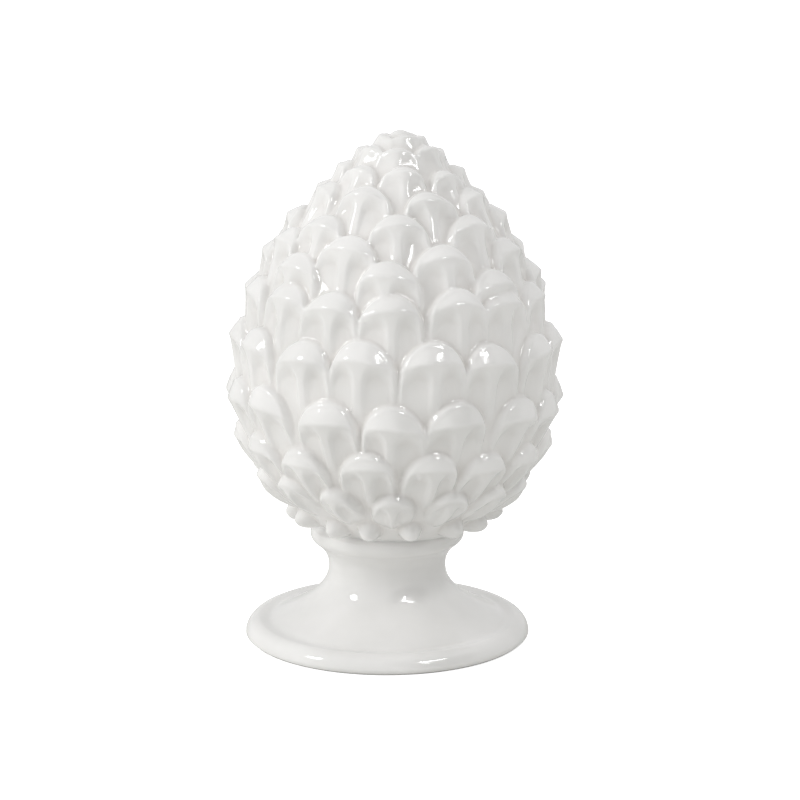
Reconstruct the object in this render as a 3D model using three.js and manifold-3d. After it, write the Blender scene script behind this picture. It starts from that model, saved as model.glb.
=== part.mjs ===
import * as THREE from 'three';
import { mergeVertices } from 'three/addons/utils/BufferGeometryUtils.js';
import Module from 'manifold-3d';

// A pinecone finial of white glazed ceramic, cast in one piece: a round foot, a waisted neck,
// a collar and an egg-shaped cone of overlapping scales. Millimetres, +Z up, front towards -Y,
// with the origin in the middle of the flat underside.

const wasm = await Module();
wasm.setup();

// Foot
const footRadius = 70.8;
const footEdgeHeight = 8.6;
const footEdgeWidest = 1.4;
const footEdgeWidth = 7.5;
const footArrisWidth = 1.6;
const grooveRadius = 58.5;
const grooveDepth = 0.6;

// Neck and collar
const neckRadius = 29.1;
const neckWaistHeight = 35;
const neckFlareBend = 2.15;
const collarRadius = 38.2;
const collarHeight = 51.8;
const collarRound = 5.2;
const collarArcAbove = 65;
const collarArcBelow = 48;
const collarFilletBend = 2.4;

// Cone, without its scales. tipSwell lifts the scales around the bud, less and less over tipReach.
const coneRadius = 76.5;
const coneWidestAboveCollar = 75.2;
const coneCrownRise = 117;
const coneFootDrop = 86;
const coneCrownBend = 0.77;
const coneFootBend = 0.66;
const coneLean = 1.3;
const coneShift = 2.2;
const coneEndPlace = -0.86;
const budRadius = 5;
const budRise = 3.5;
const tipSwell = 2.6;
const tipReach = 22;

// Scales: the carving of each one follows from its width. A pair of shares holds the value of the
// upper rings and the one of the lowest rings, which lie at lowPlace or below. The lift off the core
// is liftBase, or lowLiftBase on the lowest rings, and a share of the width. Below the lip a scale
// falls steeply to its body, which keeps bodyShare of the lift and has squarer sides than the hood,
// from the share bodyFrom of its length on.
const scaleWidth = 32;
const lowPlace = -0.42;
const archDepthShare = [0.58, 0.66];
const hoodLengthShare = [0.33, 0.17];
const sideHoodShare = 0.25;
const crownShare = 0.4;
const scaleLengthShare = 1.38;
const sideLengthShare = 1.1;
const liftBase = 3.8;
const lowLiftBase = 7;
const liftShare = [0.12, 0.05];
const domePower = 2.3;
const domeRoundPower = 0.52;
const steepFallPower = 4;
const bodyShare = [0.45, 0.95];
const bodyPower = 5;
const bodyFrom = 0.3;
const rootDepth = 1.4;

// Two flutes below the hood, parted by a rib and framed by a border: how far the flutes reach from
// the middle of the scale to its edge, and how soon and how deep they sink below the lip
const fluteInner = 0.11;
const fluteOuter = 0.88;
const fluteTopShare = [0.24, 0.28];
const fluteDepthShare = [0.5, 0.42];
const fluteRoundPower = 0.5;

// Rings of scales from the tip down. place is where the tops of the scales lie, from 1 at the tip
// through 0 at the widest height to -1 at the bottom; turn is the angle of one scale from the
// front, in degrees; width is a share of scaleWidth, and so is tilt, the rise of the left side.
const rings = [
  { place: 0.993, scales: 5, turn: 20, width: 0.47, tilt: 0 },
  { place: 0.96, scales: 7, turn: 0, width: 0.6, tilt: 0 },
  { place: 0.9, scales: 8, turn: 3, width: 0.66, tilt: 0.05 },
  { place: 0.825, scales: 8, turn: 21, width: 0.81, tilt: 0.05 },
  { place: 0.735, scales: 8, turn: -1, width: 0.88, tilt: -0.05 },
  { place: 0.645, scales: 8, turn: 20, width: 0.94, tilt: 0.06 },
  { place: 0.565, scales: 8, turn: -2, width: 0.94, tilt: 0.12 },
  { place: 0.465, scales: 15, turn: -1, width: 0.94, tilt: -0.03 },
  { place: 0.274, scales: 15, turn: 13, width: 1, tilt: 0 },
  { place: 0.046, scales: 15, turn: -1, width: 0.98, tilt: 0.03 },
  { place: -0.22, scales: 15, turn: 13, width: 0.89, tilt: 0.03 },
  { place: -0.445, scales: 15, turn: 1, width: 0.72, tilt: 0.06 },
  { place: -0.68, scales: 15, turn: 12, width: 0.38, tilt: -0.03 },
];

// Unevenness of hand work: the most that a scale strays, in degrees and millimetres, and the phase
// of the wave that moves it, in radians, from one ring and from one scale to the next
const turnWander = 1.4;
const turnRingPhase = 5.1;
const turnScalePhase = 2.7;
const riseWander = 1.2;
const riseRingPhase = 3.3;
const riseScalePhase = 4.1;

// Fineness of the faceted surface: steps along the outlines, sides around the foot and the ends of
// the cone, places across a scale that get a point, and the least distance between two rows
const edgeSteps = 5;
const neckSteps = 8;
const collarSteps = 4;
const turnedSides = 40;
const tipSides = 10;
const endSides = 30;
const meridianSteps = 600;
const wideColumns = [0, 0.46, 0.84, 1];
const plainColumns = [0, 0.6];
const plainWidthShare = 0.63;
const seamShare = 0.97;
const rowGap = 0.7;
const mergeGap = 1e-4;

const glaze = new THREE.MeshStandardMaterial({ color: 0xf3f2ee, roughness: 0.12, metalness: 0 });

const degrees = Math.PI / 180;
const fullTurn = 2 * Math.PI;
const mix = (from, to, share) => from + (to - from) * share;
const clipped = (share) => Math.min(Math.max(share, 0), 1);

// Joined solids

function solidOf(geometry) {
  geometry.deleteAttribute('normal');
  geometry.deleteAttribute('uv');
  const merged = mergeVertices(geometry, mergeGap);
  const index = merged.index.array;
  const corners = [];
  for (let i = 0; i < index.length; i += 3) {
    const [a, b, c] = index.subarray(i, i + 3);
    if (a !== b && b !== c && c !== a) corners.push(a, b, c);
  }
  const mesh = new wasm.Mesh({
    numProp: 3,
    vertProperties: merged.attributes.position.array,
    triVerts: new Uint32Array(corners),
  });
  return new wasm.Manifold(mesh);
}

function geometryOf(solid) {
  const { vertProperties, triVerts } = solid.getMesh();
  const geometry = new THREE.BufferGeometry();
  geometry.setAttribute('position', new THREE.BufferAttribute(vertProperties, 3));
  geometry.setIndex(new THREE.BufferAttribute(triVerts, 1));
  geometry.computeVertexNormals();
  return geometry;
}

// Foot, neck and collar: one outline of [radius, height] points, from the bottom up

function footOutline() {
  const points = [[0, 0], [footRadius - footArrisWidth, 0], [footRadius, footEdgeWidest]];
  for (let i = 1; i <= edgeSteps; i += 1) {
    const angle = i / edgeSteps * Math.PI / 2;
    const radius = footRadius - footEdgeWidth * (1 - Math.cos(angle));
    points.push([radius, mix(footEdgeWidest, footEdgeHeight, Math.sin(angle))]);
  }
  return points;
}

function neckOutline() {
  const points = [];
  const bottom = footEdgeHeight - grooveDepth;
  for (let i = 0; i <= neckSteps; i += 1) {
    const rise = i / neckSteps;
    const radius = mix(neckRadius, grooveRadius, (1 - rise) ** neckFlareBend);
    points.push([radius, mix(bottom, neckWaistHeight, rise)]);
  }
  return points;
}

function collarPoint(share) {
  const angle = mix(-collarArcBelow, collarArcAbove, share) * degrees;
  const radius = collarRadius - collarRound * (1 - Math.cos(angle));
  return [radius, collarHeight + collarRound * Math.sin(angle)];
}

function collarOutline() {
  const [bottomRadius, bottom] = collarPoint(0);
  const points = [];
  for (let i = 1; i < collarSteps; i += 1) {
    const rise = i / collarSteps;
    const radius = mix(neckRadius, bottomRadius, rise ** collarFilletBend);
    points.push([radius, mix(neckWaistHeight, bottom, rise)]);
  }
  for (let i = 0; i <= collarSteps; i += 1) points.push(collarPoint(i / collarSteps));
  points.push([0, collarHeight + collarRound]);
  return points;
}

function stand() {
  const outline = [...footOutline(), ...neckOutline(), ...collarOutline()];
  const points = outline.map(([radius, height]) => new THREE.Vector2(radius, height));
  return solidOf(new THREE.LatheGeometry(points, turnedSides).rotateX(Math.PI / 2));
}

// Core of the cone: its meridian, walked from the tip down

function corePoint(place) {
  const reach = place > 0 ? coneCrownRise : coneFootDrop;
  const bend = place > 0 ? coneCrownBend : coneFootBend;
  const height = collarHeight + coneWidestAboveCollar + place * reach;
  return { place, height, radius: coneRadius * (1 - place ** 2) ** bend, distance: 0 };
}

function walkMeridian() {
  const walked = [corePoint(1)];
  for (let i = 1; i <= meridianSteps; i += 1) {
    const point = corePoint(Math.cos(i / meridianSteps * Math.PI));
    const last = walked[i - 1];
    point.distance = last.distance + Math.hypot(point.radius - last.radius, point.height - last.height);
    walked.push(point);
  }
  return walked;
}

const meridian = walkMeridian();
const distanceTo = (place) => meridian.find((point) => point.place <= place).distance;

// Radius and height at a distance from the tip and a lift off the core
function coreAt(distance, lift = 0) {
  const next = Math.max(meridian.findIndex((point) => point.distance >= distance), 1);
  const [a, b] = [meridian[next - 1], meridian[next]];
  const length = b.distance - a.distance;
  const share = (distance - a.distance) / length;
  return {
    radius: Math.max(mix(a.radius, b.radius, share) + lift * (a.height - b.height) / length, 0),
    height: mix(a.height, b.height, share) + lift * (b.radius - a.radius) / length,
  };
}

// Scales: a hood over two flutes, parted by a rib and framed by a thin border

function scaleOf(ring, row, i) {
  const wander = turnWander * Math.sin(turnRingPhase * row + turnScalePhase * i);
  const angle = (ring.turn + wander) * degrees + fullTurn * i / ring.scales;
  const strayed = riseWander * Math.sin(riseRingPhase * row + riseScalePhase * i);
  const rise = strayed - ring.tilt * scaleWidth * Math.sin(angle);
  const distance = Math.max(distanceTo(ring.place) - rise, rowGap);
  const width = ring.width * scaleWidth;
  const lowness = clipped(ring.place / lowPlace);
  const halfAngle = width / 2 / coreAt(distance + mix(...hoodLengthShare, lowness) * width).radius;
  return { angle, distance, halfAngle, width, lowness };
}

const ringScales = rings.map((ring, row) => (
  Array.from({ length: ring.scales }, (_, i) => scaleOf(ring, row, i))
));
const scales = ringScales.flat();

// Signed angle from a scale's middle, between half a turn to the left and half a turn to the right
function angleFrom(scale, angle) {
  const turned = (angle - scale.angle) / fullTurn;
  return (turned - Math.round(turned)) * fullTurn;
}

// Distances down a scale, at a place across it, of its arched top, the crown of its hood, its lip,
// the place under the lip where the flutes are deep, and its end
function scaleLines(across, { width, lowness }) {
  const side = Math.min(Math.abs(across), 1);
  const arch = mix(...archDepthShare, lowness) * width * (1 - Math.sqrt(1 - side ** 2));
  const hood = mix(...hoodLengthShare, lowness) * width;
  const lip = arch + hood * mix(1, sideHoodShare, side ** 2);
  const under = lip + mix(...fluteTopShare, lowness) * width;
  const end = mix(scaleLengthShare, sideLengthShare, side ** 2) * width;
  return { arch, crown: mix(arch, lip, crownShare), lip, under, end };
}

// Depth of the flutes across a scale, as a share of its lift
function fluteDepth(side, lowness) {
  const share = clipped((side - fluteInner) / (fluteOuter - fluteInner));
  return mix(...fluteDepthShare, lowness) * Math.sin(Math.PI * share) ** fluteRoundPower;
}

function scaleLift(scale, angle, distance) {
  const side = Math.abs(angleFrom(scale, angle) / scale.halfAngle);
  const down = distance - scale.distance;
  const { width, lowness } = scale;
  const { arch, lip, under, end } = scaleLines(side, scale);
  if (side >= 1 || down < arch || down > end) return -rootDepth;
  const depth = mix(...archDepthShare, lowness) * width;
  const above = Math.max(depth - Math.min(down, lip), 0) / depth;
  const fallen = clipped((down - lip) / (end - lip));
  const power = mix(domePower, bodyPower, clipped(fallen / bodyFrom));
  const dome = Math.max(1 - Math.hypot(side, above) ** power, 0) ** domeRoundPower;
  const fall = mix((1 - fallen) ** steepFallPower, 1 - fallen ** 2, mix(...bodyShare, lowness));
  const sunk = fluteDepth(side, lowness) * clipped((down - lip) / (under - lip));
  const risen = dome * fall * (1 - sunk);
  const lift = mix(liftBase, lowLiftBase, lowness) + mix(...liftShare, lowness) * width;
  return mix(-rootDepth, lift, risen);
}

function surfaceLift(angle, distance) {
  const bud = distance < budRadius ? budRise * Math.sqrt(1 - (distance / budRadius) ** 2) : 0;
  const carved = scales.reduce((lift, scale) => Math.max(lift, scaleLift(scale, angle, distance)), bud);
  return carved + tipSwell * Math.exp(-((distance / tipReach) ** 2));
}

// Rows of points around the cone: each ring has one along its arches, crowns, lips and under them

function columnsOf(scale, neighbour, places) {
  const halfGap = angleFrom(scale, neighbour.angle) / 2;
  const sides = places.filter((place) => place * scale.halfAngle < Math.abs(halfGap) * seamShare);
  const right = sides.map((place) => scale.angle + place * scale.halfAngle);
  const left = sides.slice(1).map((place) => scale.angle - place * scale.halfAngle);
  return [...left, ...right, scale.angle + halfGap];
}

function anglesOf(ring) {
  const places = ring[0].width < plainWidthShare * scaleWidth ? plainColumns : wideColumns;
  const angles = ring.flatMap((scale, i) => columnsOf(scale, ring[(i + 1) % ring.length], places));
  return angles.map((angle) => (angle % fullTurn + fullTurn) % fullTurn).sort((a, b) => a - b);
}

// Where the scales below stand under the gaps, their arches share the columns of the flutes above
function archAngles(ring, upper) {
  const staggered = upper && upper.length === ring.length;
  return anglesOf(staggered ? upper : ring);
}

function nearestOf(ring, angle) {
  const gap = (scale) => Math.abs(angleFrom(scale, angle));
  return ring.reduce((nearest, scale) => (gap(scale) < gap(nearest) ? scale : nearest));
}

function rowOf(ring, upper, line) {
  const distance = (angle) => {
    const nearest = nearestOf(ring, angle);
    const across = angleFrom(nearest, angle) / nearest.halfAngle;
    return nearest.distance + scaleLines(across, nearest)[line];
  };
  return { angles: line === 'arch' ? archAngles(ring, upper) : anglesOf(ring), distance };
}

function evenRow(distance, sides) {
  return { angles: Array.from({ length: sides }, (_, i) => i / sides * fullTurn), distance: () => distance };
}

const rows = [
  evenRow(budRadius / 2, tipSides),
  ...ringScales.flatMap((ring, i) => (
    ['arch', 'crown', 'lip', 'under'].map((line) => rowOf(ring, ringScales[i - 1], line))
  )),
  evenRow(distanceTo(coneEndPlace), endSides),
];

// A row keeps above every later row, so that lower scales cover the upper ones
const heldDistance = (row, angle) => Math.min(
  ...rows.slice(row).map(({ distance }, later) => distance(angle) - rowGap * later),
);

function conePoints() {
  const positions = [];
  const starts = [];
  rows.forEach(({ angles }, row) => {
    starts.push(positions.length / 3);
    for (const angle of angles) {
      const distance = Math.max(heldDistance(row, angle), rowGap * (row + 1) / rows.length);
      const { radius, height } = coreAt(distance, surfaceLift(angle, distance));
      positions.push(radius * Math.sin(angle), -radius * Math.cos(angle), height);
    }
  });
  starts.push(positions.length / 3);
  positions.push(0, 0, corePoint(1).height + budRise + tipSwell, 0, 0, collarHeight);
  return { positions, starts };
}

// Joins two rows of points with triangles, each time from the row whose next point comes first
function joinRows(index, upper, lower, upperStart, lowerStart) {
  let [i, j] = [0, 0];
  const angleAt = (angles, k) => angles[k % angles.length] + fullTurn * Math.floor(k / angles.length);
  while (i < upper.length || j < lower.length) {
    const [a, b] = [upperStart + i % upper.length, lowerStart + j % lower.length];
    const upperNext = angleAt(upper, i + 1);
    const lowerNext = angleAt(lower, j + 1);
    if (j >= lower.length || (i < upper.length && upperNext <= lowerNext)) {
      index.push(a, b, upperStart + (i + 1) % upper.length);
      i += 1;
    } else {
      index.push(a, b, lowerStart + (j + 1) % lower.length);
      j += 1;
    }
  }
}

function cone() {
  const { positions, starts } = conePoints();
  const index = [];
  const top = starts[rows.length];
  const [first, last] = [rows[0].angles.length, rows[rows.length - 1].angles.length];
  for (let i = 0; i < first; i += 1) index.push(top, i, (i + 1) % first);
  for (let row = 1; row < rows.length; row += 1) {
    joinRows(index, rows[row - 1].angles, rows[row].angles, starts[row - 1], starts[row]);
  }
  const end = starts[rows.length - 1];
  for (let i = 0; i < last; i += 1) index.push(end + i, top + 1, end + (i + 1) % last);
  const geometry = new THREE.BufferGeometry();
  geometry.setAttribute('position', new THREE.Float32BufferAttribute(positions, 3));
  geometry.setIndex(index);
  // The cone stands a little to the right of the foot's axis and leans that way from the collar up
  geometry.translate(0, 0, -collarHeight);
  geometry.rotateY(coneLean * degrees);
  geometry.translate(coneShift, 0, collarHeight);
  return solidOf(geometry);
}

const finial = new THREE.Mesh(geometryOf(stand().add(cone())), glaze);
finial.name = 'pinecone_finial';

const group = new THREE.Group();
group.add(finial);

export default group;
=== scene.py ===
import math

import bpy
import numpy as np
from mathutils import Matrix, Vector

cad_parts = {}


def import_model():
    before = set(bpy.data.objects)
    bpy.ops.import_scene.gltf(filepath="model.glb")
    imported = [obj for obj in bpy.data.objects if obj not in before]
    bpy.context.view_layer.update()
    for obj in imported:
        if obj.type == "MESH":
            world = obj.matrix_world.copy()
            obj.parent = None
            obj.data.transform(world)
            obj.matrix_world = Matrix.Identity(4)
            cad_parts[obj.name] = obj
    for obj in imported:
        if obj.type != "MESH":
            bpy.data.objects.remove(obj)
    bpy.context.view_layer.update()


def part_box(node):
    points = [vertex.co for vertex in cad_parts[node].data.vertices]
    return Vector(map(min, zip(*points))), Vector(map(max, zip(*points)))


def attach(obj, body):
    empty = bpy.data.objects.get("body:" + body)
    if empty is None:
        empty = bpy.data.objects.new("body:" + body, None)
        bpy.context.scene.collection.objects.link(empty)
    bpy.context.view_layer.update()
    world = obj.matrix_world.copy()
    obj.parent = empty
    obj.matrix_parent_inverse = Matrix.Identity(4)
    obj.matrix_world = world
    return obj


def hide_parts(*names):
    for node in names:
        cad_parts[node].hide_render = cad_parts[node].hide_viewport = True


# A pinecone finial of white glazed ceramic: a round foot, a waisted neck, a collar and an
# egg-shaped cone of overlapping scales. Front towards -Y, the origin in the middle of the flat
# underside. The shape is worked out in millimetres and scaled to the height of the frame. The
# frame and the studio around the finial are in metres.

NODE = "pinecone_finial"
# Point layer that carries the painted shade in the creases between scales
CREASE_SHADE_LAYER = "painted_crease_shade"
BARE_LAYER = "bare_clay"

# Height of the finial that the values below belong to
MODEL_HEIGHT = 250.05

# Foot
FOOT_RADIUS = 70.8
FOOT_EDGE_HEIGHT = 8.6
FOOT_EDGE_WIDEST = 1.4
FOOT_EDGE_WIDTH = 7.5
FOOT_ARRIS_WIDTH = 1.6
GROOVE_RADIUS = 58.5
GROOVE_DEPTH = 0.6

# Underside: rings of points from its edge inwards, and the radius within which the clay is bare
UNDERSIDE_RADII = (67.0, 66.0, 40.0, 20.0)
BARE_RADIUS = 66.0

# Neck and collar; the collar's round ends below at an angle in degrees
NECK_RADIUS = 29.1
NECK_WAIST_HEIGHT = 35.0
NECK_FLARE_BEND = 2.15
COLLAR_RADIUS = 38.2
COLLAR_HEIGHT = 51.8
COLLAR_ROUND = 5.2
COLLAR_END_ANGLE = -48.0
COLLAR_FILLET_BEND = 2.4

# Cone, without its scales. Its lean is in degrees, and the place where it joins the collar is
# measured like those of the rings below.
CONE_RADIUS = 76.5
CONE_WIDEST_HEIGHT = 127.0
CONE_CROWN_RISE = 117.0
CONE_FOOT_DROP = 86.0
CONE_CROWN_BEND = 0.77
CONE_FOOT_BEND = 0.66
CONE_JOIN_PLACE = -0.835
CONE_LEAN = 1.3
CONE_SHIFT = 2.2
BUD_RADIUS = 5.0
BUD_RISE = 3.5
TIP_SWELL = 2.6
TIP_REACH = 22.0

# Scales: the carving of each one follows from its width. Lengths are shares of that width, the
# hood's length at its sides is a share of the one in its middle, and the roll along the arch and
# the bead along the lip are shares of the lift. A pair holds the value of the upper rings and that
# of the lowest ones, which begin at LOW_PLACE.
LOW_PLACE = -0.42
ARCH_DEPTH_SHARE = (0.58, 0.66)
HOOD_LENGTH_SHARE = (0.33, 0.17)
SIDE_HOOD_SHARE = 0.25
SCALE_LENGTH_SHARE = 1.38
SIDE_LENGTH_SHARE = 1.1
LIFT_BASE = (3.8, 7.0)
LIFT_SHARE = (0.12, 0.05)
DOME_POWER = 2.3
DOME_ROUND_POWER = 0.52
EDGE_ROLL_SHARE = 0.13
EDGE_ROLL_INSET = 1.5
EDGE_ROLL_REACH = 0.8
LIP_BEAD_SHARE = 0.05
LIP_BEAD_REACH = 1.6
ROOT_DEPTH = 1.4

# Below its lip a scale falls off steeply or keeps the height of a body with straighter sides.
# The pair is the share of the body in that mixture. The sides are at their straightest after a
# share of the fall, BODY_FROM.
STEEP_FALL_POWER = 4.0
BODY_SHARE = (0.45, 0.95)
BODY_POWER = 5.0
BODY_FROM = 0.3

# Flutes in that body: where they begin and end as shares of half the scale's width, the rounding
# of their corners and the length of their tops as shares of its width, their depth as a share of
# the height there, and the widths of scales at which they begin to show and are full
FLUTE_INNER = 0.13
FLUTE_OUTER = 0.88
FLUTE_CORNER_SHARE = 0.18
FLUTE_TOP_SHARE = (0.24, 0.28)
FLUTE_DEPTH_SHARE = (0.5, 0.42)
FLUTE_ROUND_POWER = 0.4
FLUTES_FROM_WIDTH = 13.0
FLUTES_FULL_WIDTH = 26.0

# Rings of scales from the tip down: the place of their tops, from 1 at the tip through 0 at the
# widest height to -1 at the bottom, how many there are, the angle of one from the front in
# degrees, their width, and how many millimetres higher the ring lies on the side of -X
RINGS = [
    (0.993, 5, 20, 15, 0),
    (0.96, 7, 0, 19, 0),
    (0.9, 8, 3, 21, 1.5),
    (0.825, 8, 21, 26, 1.5),
    (0.735, 8, -1, 28, -1.5),
    (0.645, 8, 20, 30, 2),
    (0.565, 8, -2, 30, 4),
    (0.465, 15, -1, 30, -1),
    (0.274, 15, 13, 32, 0),
    (0.046, 15, -1, 31.5, 1),
    (-0.22, 15, 13, 28.5, 1),
    (-0.445, 15, 1, 23, 2),
    (-0.68, 15, 12, 12, -1),
]

# Unevenness of hand work: the most that a scale strays, and the phase in radians of the wave that
# moves it, from one ring and from one scale to the next. The turn is in degrees and the rise in
# millimetres. The skew, which leans the scale's middle to a side, is a share of half its width,
# and the slant of its lip is a share of its width.
TURN_WANDER = 1.4
TURN_RING_PHASE = 5.1
TURN_SCALE_PHASE = 2.7
RISE_WANDER = 1.2
RISE_RING_PHASE = 3.3
RISE_SCALE_PHASE = 4.1
SKEW_WANDER = 0.13
SKEW_RING_PHASE = 2.3
SKEW_SCALE_PHASE = 1.9
SLANT_WANDER = 0.05
SLANT_RING_PHASE = 4.4
SLANT_SCALE_PHASE = 3.4

# Fineness of the surface: its columns around, the distance between rows down the cone, the steps
# along the outlines, the reach in which the slope of the core is measured, and the number of
# triangles that are left in the end
COLUMNS = 720
ROW_STEP = 0.8
MERIDIAN_STEPS = 2400
NECK_STEPS = 18
FLARE_STEPS = 36
ARC_STEPS = 8
SLOPE_REACH = 0.4
FACE_LIMIT = 190000

# Least values that keep the rows near the tip and the ends of the scales whole, and how far the
# point at the tip stands above the first row
LEAST_TOP_DISTANCE = 0.7
LEAST_FALL = 1.0
LEAST_RADIUS = 0.05
LEAST_BLUR_RADIUS = 0.5
TIP_RISE = 0.02

# Softness that the glaze gives the scales, how far away and how deep the painted shade reaches in
# the creases between them, and how many softnesses away a blur still counts
GLAZE_SOFTNESS = 0.5
SHADE_REACH = 3.0
SHADE_DEPTH = 2.6
BLUR_REACH = 3

# Softened crease in the foot's groove, and how many softnesses away its blur still counts
CREASE_REACH = 6.0
CREASE_SOFTNESS = 1.8
CREASE_STEP = 0.5
CREASE_BLUR_REACH = 2

# Glaze and clay. The clouds and the ripple have so many waves to the metre, and the depth of the
# ripple is in metres.
WHITE = (1, 1, 1, 1)
GLAZE_TINTS = ((0.80, 0.794, 0.778, 1), (0.86, 0.852, 0.838, 1))
# Painted shade: the tint that darkens the glaze in the creases between scales
CREASE_SHADE_TINT = (0.87, 0.845, 0.825, 1)
CLAY_TINT = (0.70, 0.62, 0.52, 1)
GLAZE_ROUGHNESS = 0.045
CLAY_ROUGHNESS = 0.75
GLAZE_REFRACTION = 1.7
CLOUD_SCALE = 28.0
CLOUD_DETAIL = 3.0
CLOUD_SPAN = (0.35, 0.65)
RIPPLE_SCALE = 70.0
RIPPLE_DETAIL = 2.0
RIPPLE_STRENGTH = 0.25
RIPPLE_DEPTH = 0.0004

# Floor: the camera sees it glow, and for the finial it is dull
FLOOR_SIZE = 400.0
FLOOR_TINT = (0.92, 0.92, 0.92, 1)
FLOOR_ROUGHNESS = 0.9
FLOOR_GLOSS = 0.0
FLOOR_GLOW = 0.6
FLOOR_DULL_TINT = (0.78, 0.78, 0.76, 1)

# Light from all around, with one darker wall: its direction, the cosines off it between which the
# light darkens, and its tone
WORLD_LIGHT = 0.765
DARK_WALL = (0.52, -0.5, 0.7)
DARK_WALL_SPAN = (0.8, 0.9)
DARK_WALL_TONE = (0.15, 0.15, 0.15, 1)

# Lamps: name, shape, direction from the place that they aim at, distance, width and height, power
# in watts, and whether the glaze mirrors them
LAMPS = [
    ("round_light", "DISK", (-0.73, -0.26, 0.63), 1.5, (0.34, 0.34), 3.0, True),
    ("soft_left", "SQUARE", (-0.94, -0.32, 0.2), 2.2, (1.8, 1.8), 15.0, False),
    ("window_pane", "RECTANGLE", (0.458, -0.483, 0.7635), 1.52, (0.46, 0.34), 1.1, True),
    ("window_top_bar", "RECTANGLE", (0.474, -0.388, 0.80), 1.5, (0.5, 0.09), 2.2, True),
    ("window_side_bar", "RECTANGLE", (0.442, -0.578, 0.727), 1.5, (0.09, 0.34), 1.5, True),
]
LAMPS_AIM = (0, 0, 0.1)

# Camera: its place and aim, from the middle of the underside, and its lens, in millimetres
CAMERA_DISTANCE = 1000.0
CAMERA_HEIGHT = 320.0
AIM_HEIGHT = 118.0
CAMERA_SIDE = 6.4
FOCAL_LENGTH = 93.4
SENSOR_WIDTH = 36.0


def mix(first, second, share):
    return first + (second - first) * share


def smooth(share):
    share = np.clip(share, 0, 1)
    return share * share * (3 - 2 * share)


def bell(away):
    """Weight of what lies away from the middle of a blur by so many softnesses."""
    return np.exp(-0.5 * away ** 2)


# Core of the cone: its meridian, walked from the tip down

def core_points():
    place = np.cos(np.linspace(0, math.pi, MERIDIAN_STEPS + 1))
    reach = np.where(place > 0, CONE_CROWN_RISE, CONE_FOOT_DROP)
    bend = np.where(place > 0, CONE_CROWN_BEND, CONE_FOOT_BEND)
    radius = CONE_RADIUS * np.maximum(1 - place ** 2, 0) ** bend
    height = CONE_WIDEST_HEIGHT + place * reach
    steps = np.hypot(np.diff(radius), np.diff(height))
    distance = np.concatenate([[0], np.cumsum(steps)])
    return {"place": place, "radius": radius, "height": height, "distance": distance}


CORE = core_points()

# Angle of every column from the front, towards +X
ANGLES = np.arange(COLUMNS) / COLUMNS * 2 * math.pi


def distance_to(place):
    return np.interp(-place, -CORE["place"], CORE["distance"])


def core_at(distance):
    radius = np.interp(distance, CORE["distance"], CORE["radius"])
    height = np.interp(distance, CORE["distance"], CORE["height"])
    return radius, height


def outward_at(distance):
    """Direction off the core, as its parts along the radius and the height."""
    upper_radius, upper_height = core_at(np.maximum(distance - SLOPE_REACH, 0))
    lower_radius, lower_height = core_at(distance + SLOPE_REACH)
    length = np.hypot(lower_radius - upper_radius, lower_height - upper_height)
    return (upper_height - lower_height) / length, (lower_radius - upper_radius) / length


# Scales: a hood over two flutes, parted by a rib and framed by a thin border

def scale_places():
    """Angle, distance from the tip, half its angular width and shape of every scale."""
    scales = []
    for row, (place, count, turn, width, tilt) in enumerate(RINGS):
        lowness = min(max(place / LOW_PLACE, 0), 1)
        for i in range(count):
            wander = TURN_WANDER * math.sin(TURN_RING_PHASE * row + TURN_SCALE_PHASE * i)
            angle = math.radians(turn + wander) + 2 * math.pi * i / count
            strayed = RISE_WANDER * math.sin(RISE_RING_PHASE * row + RISE_SCALE_PHASE * i)
            distance = distance_to(place) - strayed + tilt * math.sin(angle)
            distance = max(distance, LEAST_TOP_DISTANCE)
            radius, _ = core_at(distance + mix(*HOOD_LENGTH_SHARE, lowness) * width)
            skew = SKEW_WANDER * math.sin(SKEW_RING_PHASE * row + SKEW_SCALE_PHASE * i)
            slant = SLANT_WANDER * math.sin(SLANT_RING_PHASE * row + SLANT_SCALE_PHASE * i)
            shape = {"width": width, "lowness": lowness, "skew": skew, "slant": slant}
            scales.append((angle, distance, width / 2 / radius, shape))
    return scales


def flute_share(side, below_lip, width, lowness):
    """Share of a scale's height that its flutes take away."""
    flute = np.clip((side - FLUTE_INNER) / (FLUTE_OUTER - FLUTE_INNER), 0, 1)
    round_top = FLUTE_CORNER_SHARE * width * (1 - np.sqrt(1 - (2 * flute - 1) ** 2))
    opened = smooth((below_lip - round_top) / (mix(*FLUTE_TOP_SHARE, lowness) * width))
    opened = opened * smooth((width - FLUTES_FROM_WIDTH) / (FLUTES_FULL_WIDTH - FLUTES_FROM_WIDTH))
    deep = mix(*FLUTE_DEPTH_SHARE, lowness)
    hollow = deep * np.sin(math.pi * flute) ** FLUTE_ROUND_POWER
    return hollow * opened


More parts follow.
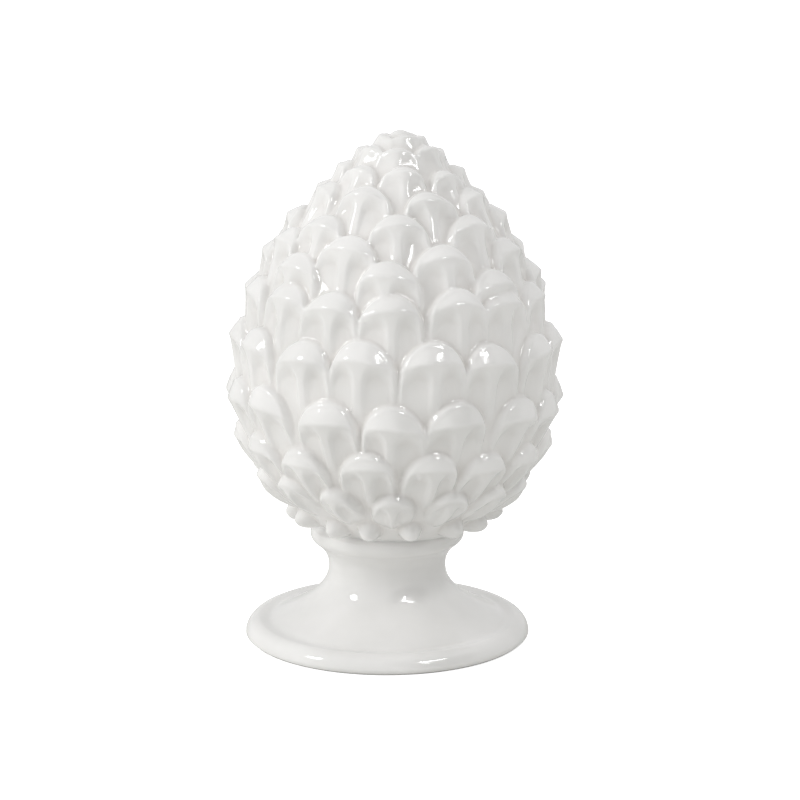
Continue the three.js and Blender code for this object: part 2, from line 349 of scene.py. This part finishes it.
def scale_lift(across, down, shape):
    """Lift of one scale off the core, at places across it and distances down from its top."""
    width, lowness = shape["width"], shape["lowness"]
    across = across + shape["skew"] * np.maximum(1 - across ** 2, 0)
    side = np.minimum(np.abs(across), 1)
    depth = mix(*ARCH_DEPTH_SHARE, lowness) * width
    end = mix(SCALE_LENGTH_SHARE, SIDE_LENGTH_SHARE, side ** 2) * width
    hood = mix(*HOOD_LENGTH_SHARE, lowness) * width
    lift = mix(*LIFT_BASE, lowness) + mix(*LIFT_SHARE, lowness) * width
    arch = depth * (1 - np.sqrt(1 - side ** 2))
    lip = arch + hood * mix(1, SIDE_HOOD_SHARE, side ** 2)
    lip = lip + shape["slant"] * width * across * (1 - side ** 2)
    upper = np.minimum(down, lip)
    fallen = np.clip((down - lip) / np.maximum(end - lip, LEAST_FALL), 0, 1)
    from_middle = np.sqrt(side ** 2 + (np.maximum(depth - upper, 0) / depth) ** 2)
    power = mix(DOME_POWER, BODY_POWER, smooth(fallen / BODY_FROM))
    dome = np.maximum(1 - from_middle ** power, 0) ** DOME_ROUND_POWER
    inset = (1 - from_middle) * width / 2
    roll = EDGE_ROLL_SHARE * np.exp(-((inset - EDGE_ROLL_INSET) / EDGE_ROLL_REACH) ** 2)
    fall = mix((1 - fallen) ** STEEP_FALL_POWER, 1 - fallen ** 2, mix(*BODY_SHARE, lowness))
    bead = LIP_BEAD_SHARE * np.exp(-((down - lip) / LIP_BEAD_REACH) ** 2)
    front = (dome + roll + bead * np.sqrt(1 - side ** 2)) * fall
    outside = (np.abs(across) >= 1) | (down < arch) | (down > end)
    risen = np.where(outside, 0, front * (1 - flute_share(side, down - lip, width, lowness)))
    return mix(-ROOT_DEPTH, lift, risen)


def blurred_around(field, softness):
    """Softens each row along the cone by the same real distance; softness is in radians a row."""
    waves = np.fft.rfft(field, axis=1)
    counts = np.arange(waves.shape[1])
    damping = bell(counts[None, :] * softness[:, None])
    return np.fft.irfft(waves * damping, n=field.shape[1], axis=1)


def blurred_down(field, softness):
    """Softens each column; softness is in rows."""
    reach = max(int(BLUR_REACH * softness), 1)
    starts = range(2 * reach + 1)
    weights = bell(np.arange(-reach, reach + 1) / softness)
    padded = np.pad(field, ((reach, reach), (0, 0)), mode="edge")
    rows = field.shape[0]
    total = sum(weight * padded[start:start + rows] for start, weight in zip(starts, weights))
    return total / weights.sum()


def softened(field, radius, reach):
    """The field blurred by a reach in millimetres, on rows of these radii."""
    field = blurred_around(field, reach / np.maximum(radius, LEAST_BLUR_RADIUS))
    return blurred_down(field, reach / ROW_STEP)


def lift_field(distances):
    """Softened lift of the surface off the core: the bud at the tip, or the highest scale there."""
    field = np.zeros((len(distances), COLUMNS))
    inside = distances < BUD_RADIUS
    field[inside] = (BUD_RISE * np.sqrt(1 - (distances[inside] / BUD_RADIUS) ** 2))[:, None]
    for angle, top, half_angle, shape in scale_places():
        away = (ANGLES - angle + math.pi) % (2 * math.pi) - math.pi
        columns = np.flatnonzero(np.abs(away) < half_angle)
        down = distances - top
        rows = np.flatnonzero((down > 0) & (down < SCALE_LENGTH_SHARE * shape["width"]))
        if len(columns) and len(rows):
            across = away[columns][None, :] / half_angle
            own = scale_lift(across, down[rows][:, None], shape)
            window = np.ix_(rows, columns)
            field[window] = np.maximum(field[window], own)
    field += (TIP_SWELL * np.exp(-(distances / TIP_REACH) ** 2))[:, None]
    radius, _ = core_at(distances)
    return softened(field, radius, GLAZE_SOFTNESS)


# Stand: one outline of points, each a radius and a height, from the cone down to the underside

def arc(centre, radii, start, end, steps):
    turns = np.radians(np.linspace(start, end, steps + 1))
    return [
        (centre[0] + radii[0] * math.cos(turn), centre[1] + radii[1] * math.sin(turn))
        for turn in turns
    ]


def rounded_crease(points, index):
    """The outline with its crease at one of its points softened, on points close together."""
    points = np.array(points)
    lengths = np.hypot(*np.diff(points, axis=0).T)
    along = np.concatenate([[0], np.cumsum(lengths)])
    crease = along[index]

    def outline_at(distances):
        return np.stack([np.interp(distances, along, points[:, i]) for i in range(2)], axis=1)

    fine = np.arange(crease - CREASE_REACH, crease + CREASE_REACH, CREASE_STEP)
    blur = CREASE_BLUR_REACH * CREASE_SOFTNESS
    offsets = np.arange(-blur, blur + CREASE_STEP, CREASE_STEP)
    moved = [outline_at(fine + offset) for offset in offsets]
    soft = np.average(moved, axis=0, weights=bell(offsets / CREASE_SOFTNESS))
    # Fully soft within half the reach of the crease, and as it was at the reach's ends
    share = smooth(2 - 2 * np.abs(fine - crease) / CREASE_REACH)[:, None]
    near = mix(outline_at(fine), soft, share)
    return [*points[along < fine[0]], *near, *points[along > fine[-1]]]


def stand_outline(join_height):
    collar_middle = (COLLAR_RADIUS - COLLAR_ROUND, COLLAR_HEIGHT)
    collar_radii = (COLLAR_ROUND, COLLAR_ROUND)
    start = math.degrees(math.asin(min((join_height - COLLAR_HEIGHT) / COLLAR_ROUND, 1)))
    points = arc(collar_middle, collar_radii, start, COLLAR_END_ANGLE, ARC_STEPS)[1:]
    bottom_radius, bottom = points[-1]
    for i in range(1, NECK_STEPS + 1):
        rise = 1 - i / NECK_STEPS
        radius = NECK_RADIUS + (bottom_radius - NECK_RADIUS) * rise ** COLLAR_FILLET_BEND
        points.append((radius, mix(NECK_WAIST_HEIGHT, bottom, rise)))
    groove = FOOT_EDGE_HEIGHT - GROOVE_DEPTH
    for i in range(1, FLARE_STEPS + 1):
        rise = 1 - i / FLARE_STEPS
        radius = mix(NECK_RADIUS, GROOVE_RADIUS, (1 - rise) ** NECK_FLARE_BEND)
        points.append((radius, mix(groove, NECK_WAIST_HEIGHT, rise)))
    crease_at = len(points) - 1
    edge_middle = (FOOT_RADIUS - FOOT_EDGE_WIDTH, FOOT_EDGE_WIDEST)
    edge_radii = (FOOT_EDGE_WIDTH, FOOT_EDGE_HEIGHT - FOOT_EDGE_WIDEST)
    points += arc(edge_middle, edge_radii, 90, 0, ARC_STEPS)
    points.append((FOOT_RADIUS - FOOT_ARRIS_WIDTH, 0))
    return rounded_crease(points, crease_at)


# Surface: rows of points from the tip down to the underside, in millimetres

def ring(radius, height):
    heights = np.full(COLUMNS, float(height))
    return np.stack([radius * np.sin(ANGLES), -radius * np.cos(ANGLES), heights], axis=1)


def surface():
    """All rows of points, and how strong the painted shade in the creases is at each point of the
    cone's rows.
    """
    distances = np.arange(ROW_STEP / 2, distance_to(CONE_JOIN_PLACE), ROW_STEP)
    lift = lift_field(distances)
    core_radius, core_height = core_at(distances)
    out_radius, out_height = outward_at(distances)
    radius = np.maximum(core_radius[:, None] + lift * out_radius[:, None], LEAST_RADIUS)
    height = core_height[:, None] + lift * out_height[:, None] - COLLAR_HEIGHT
    lean = math.radians(CONE_LEAN)
    x, y = radius * np.sin(ANGLES), -radius * np.cos(ANGLES)
    cone = np.stack([
        x * math.cos(lean) + height * math.sin(lean) + CONE_SHIFT,
        y,
        -x * math.sin(lean) + height * math.cos(lean) + COLLAR_HEIGHT,
    ], axis=2)
    stand = [ring(*point) for point in stand_outline(core_height[-1])]
    underside = [ring(radius, 0) for radius in UNDERSIDE_RADII]
    # Painted shade: darker where the lift lies below its softened surroundings, in the creases
    # between scales
    crease_shade = np.clip((softened(lift, core_radius, SHADE_REACH) - lift) / SHADE_DEPTH, 0, 1)
    return np.concatenate([cone, stand, underside]), crease_shade


# Mesh and materials

def add_layer(mesh, name, values):
    layer = mesh.attributes.new(name, "FLOAT", "POINT")
    layer.data.foreach_set("value", values)


def finial_mesh(unit):
    """One closed mesh: the rows of the surface, closed by a point at the tip and one below."""
    rows, crease_shade = surface()
    tip = rows[0].mean(axis=0) + np.array([0, 0, TIP_RISE])
    points = np.concatenate([rows.reshape(-1, 3), [tip, [0, 0, 0]]]) * unit
    count = len(rows)
    tip_index, base_index = count * COLUMNS, count * COLUMNS + 1
    faces = []
    for row in range(count - 1):
        start, below = row * COLUMNS, (row + 1) * COLUMNS
        for i in range(COLUMNS):
            j = (i + 1) % COLUMNS
            faces.append((start + i, below + i, below + j, start + j))
    last = (count - 1) * COLUMNS
    for i in range(COLUMNS):
        j = (i + 1) % COLUMNS
        faces.append((tip_index, i, j))
        faces.append((last + i, base_index, last + j))
    mesh = bpy.data.meshes.new("pinecone_finial_surface")
    mesh.from_pydata(points.tolist(), [], faces)
    # Painted shade in the creases, on the points of the cone's rows
    painted_shade = np.zeros(len(points), np.float32)
    painted_shade[:crease_shade.size] = crease_shade.ravel()
    add_layer(mesh, CREASE_SHADE_LAYER, painted_shade)
    bare_rings = sum(radius <= BARE_RADIUS for radius in UNDERSIDE_RADII)
    bare = np.zeros(len(points), np.float32)
    bare[(count - bare_rings) * COLUMNS:tip_index] = 1
    bare[base_index] = 1
    add_layer(mesh, BARE_LAYER, bare)
    mesh.validate()
    mesh.polygons.foreach_set("use_smooth", np.ones(len(mesh.polygons), bool))
    mesh.update()
    return mesh


def thin_out(finial):
    """Leaves fewer faces where the surface is smooth. A face of four corners is two triangles."""
    modifier = finial.modifiers.new("thin_out", "DECIMATE")
    modifier.ratio = FACE_LIMIT / (2 * len(finial.data.polygons))
    bpy.context.view_layer.update()
    shown = finial.evaluated_get(bpy.context.evaluated_depsgraph_get())
    thinned = bpy.data.meshes.new_from_object(shown)
    finial.modifiers.clear()
    finial.data = thinned


def layer_value(tree, name):
    node = tree.nodes.new("ShaderNodeAttribute")
    node.attribute_name = name
    return node.outputs["Fac"]


def noise(tree, place, scale, detail):
    node = tree.nodes.new("ShaderNodeTexNoise")
    node.inputs["Scale"].default_value = scale
    node.inputs["Detail"].default_value = detail
    tree.links.new(place, node.inputs["Vector"])
    return node.outputs["Fac"]


def ramp(tree, value, span, tints):
    """Tint between two tints, as the value goes through the span."""
    node = tree.nodes.new("ShaderNodeValToRGB")
    for element, position, tint in zip(node.color_ramp.elements, span, tints):
        element.position = position
        element.color = tint
    tree.links.new(value, node.inputs["Fac"])
    return node.outputs["Color"]


def tinted(tree, base, share, tint, blend):
    """The base colour with a share of a tint."""
    node = tree.nodes.new("ShaderNodeMix")
    node.data_type = "RGBA"
    node.blend_type = blend
    node.inputs["B"].default_value = tint
    tree.links.new(share, node.inputs["Factor"])
    tree.links.new(base, node.inputs["A"])
    return node.outputs["Result"]


def glaze_material():
    """White glaze, cloudy, with painted shade darkening its creases, slightly rippled, and bare
    clay below.
    """
    material = bpy.data.materials.new("white_glaze")
    material.use_nodes = True
    tree = material.node_tree
    shader = tree.nodes["Principled BSDF"]
    place = tree.nodes.new("ShaderNodeTexCoord").outputs["Object"]
    bare = layer_value(tree, BARE_LAYER)
    cloud = noise(tree, place, CLOUD_SCALE, CLOUD_DETAIL)
    white = ramp(tree, cloud, CLOUD_SPAN, GLAZE_TINTS)
    # Painted shade: the glaze multiplied by the crease tint where the shade layer is high
    glaze = tinted(tree, white, layer_value(tree, CREASE_SHADE_LAYER), CREASE_SHADE_TINT, "MULTIPLY")
    colour = tinted(tree, glaze, bare, CLAY_TINT, "MIX")
    tree.links.new(colour, shader.inputs["Base Color"])
    rough = tree.nodes.new("ShaderNodeMix")
    rough.inputs["A"].default_value = GLAZE_ROUGHNESS
    rough.inputs["B"].default_value = CLAY_ROUGHNESS
    tree.links.new(bare, rough.inputs["Factor"])
    tree.links.new(rough.outputs["Result"], shader.inputs["Roughness"])
    bump = tree.nodes.new("ShaderNodeBump")
    bump.inputs["Strength"].default_value = RIPPLE_STRENGTH
    bump.inputs["Distance"].default_value = RIPPLE_DEPTH
    tree.links.new(noise(tree, place, RIPPLE_SCALE, RIPPLE_DETAIL), bump.inputs["Height"])
    tree.links.new(bump.outputs["Normal"], shader.inputs["Normal"])
    shader.inputs["IOR"].default_value = GLAZE_REFRACTION
    return material


def floor_material():
    """A glowing white for the camera and a dull one for all other rays."""
    material = bpy.data.materials.new("pale_floor")
    material.use_nodes = True
    tree = material.node_tree
    glowing = tree.nodes["Principled BSDF"]
    glowing.inputs["Base Color"].default_value = FLOOR_TINT
    glowing.inputs["Roughness"].default_value = FLOOR_ROUGHNESS
    glowing.inputs["Specular IOR Level"].default_value = FLOOR_GLOSS
    glowing.inputs["Emission Color"].default_value = WHITE
    glowing.inputs["Emission Strength"].default_value = FLOOR_GLOW
    dull = tree.nodes.new("ShaderNodeBsdfDiffuse")
    dull.inputs["Color"].default_value = FLOOR_DULL_TINT
    seen = tree.nodes.new("ShaderNodeLightPath")
    choice = tree.nodes.new("ShaderNodeMixShader")
    tree.links.new(seen.outputs["Is Camera Ray"], choice.inputs["Fac"])
    tree.links.new(dull.outputs["BSDF"], choice.inputs[1])
    tree.links.new(glowing.outputs["BSDF"], choice.inputs[2])
    tree.links.new(choice.outputs["Shader"], tree.nodes["Material Output"].inputs["Surface"])
    return material


# Studio: floor, light and camera

def make_floor():
    bpy.ops.mesh.primitive_plane_add(size=FLOOR_SIZE)
    floor = bpy.context.object
    floor.name = "floor"
    floor.data.materials.append(floor_material())


def make_world():
    world = bpy.data.worlds.new("studio")
    bpy.context.scene.world = world
    world.use_nodes = True
    tree = world.node_tree
    place = tree.nodes.new("ShaderNodeTexCoord")
    towards = tree.nodes.new("ShaderNodeVectorMath")
    towards.operation = "DOT_PRODUCT"
    towards.inputs[1].default_value = Vector(DARK_WALL).normalized()
    tree.links.new(place.outputs["Generated"], towards.inputs[0])
    tone = ramp(tree, towards.outputs["Value"], DARK_WALL_SPAN, (WHITE, DARK_WALL_TONE))
    background = tree.nodes["Background"]
    background.inputs["Strength"].default_value = WORLD_LIGHT
    tree.links.new(tone, background.inputs["Color"])


def make_lamps():
    for name, shape, direction, distance, size, power, mirrored in LAMPS:
        light = bpy.data.lights.new(name, "AREA")
        light.shape = shape
        light.size, light.size_y = size
        light.energy = power
        lamp = bpy.data.objects.new(name, light)
        way = Vector(direction).normalized()
        lamp.location = Vector(LAMPS_AIM) + way * distance
        lamp.rotation_mode = "QUATERNION"
        lamp.rotation_quaternion = way.to_track_quat("Z", "Y")
        lamp.visible_glossy = mirrored
        bpy.context.scene.collection.objects.link(lamp)


def make_camera(unit):
    camera = bpy.data.cameras.new("camera")
    camera.lens = FOCAL_LENGTH
    camera.sensor_width = SENSOR_WIDTH
    eye = bpy.data.objects.new("camera", camera)
    eye.location = Vector((CAMERA_SIDE, -CAMERA_DISTANCE, CAMERA_HEIGHT)) * unit
    aim = Vector((CAMERA_SIDE, 0, AIM_HEIGHT)) * unit
    eye.rotation_mode = "QUATERNION"
    eye.rotation_quaternion = (aim - eye.location).to_track_quat("-Z", "Y")
    bpy.context.scene.collection.objects.link(eye)
    bpy.context.scene.camera = eye


def main():
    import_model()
    low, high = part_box(NODE)
    unit = (high.z - low.z) / MODEL_HEIGHT
    finial = bpy.data.objects.new("glazed_finial", finial_mesh(unit))
    bpy.context.scene.collection.objects.link(finial)
    finial.data.materials.append(glaze_material())
    thin_out(finial)
    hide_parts(NODE)
    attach(finial, "root")
    make_floor()
    make_world()
    make_lamps()
    make_camera(unit)
    bpy.context.scene.view_settings.view_transform = "Standard"


main()
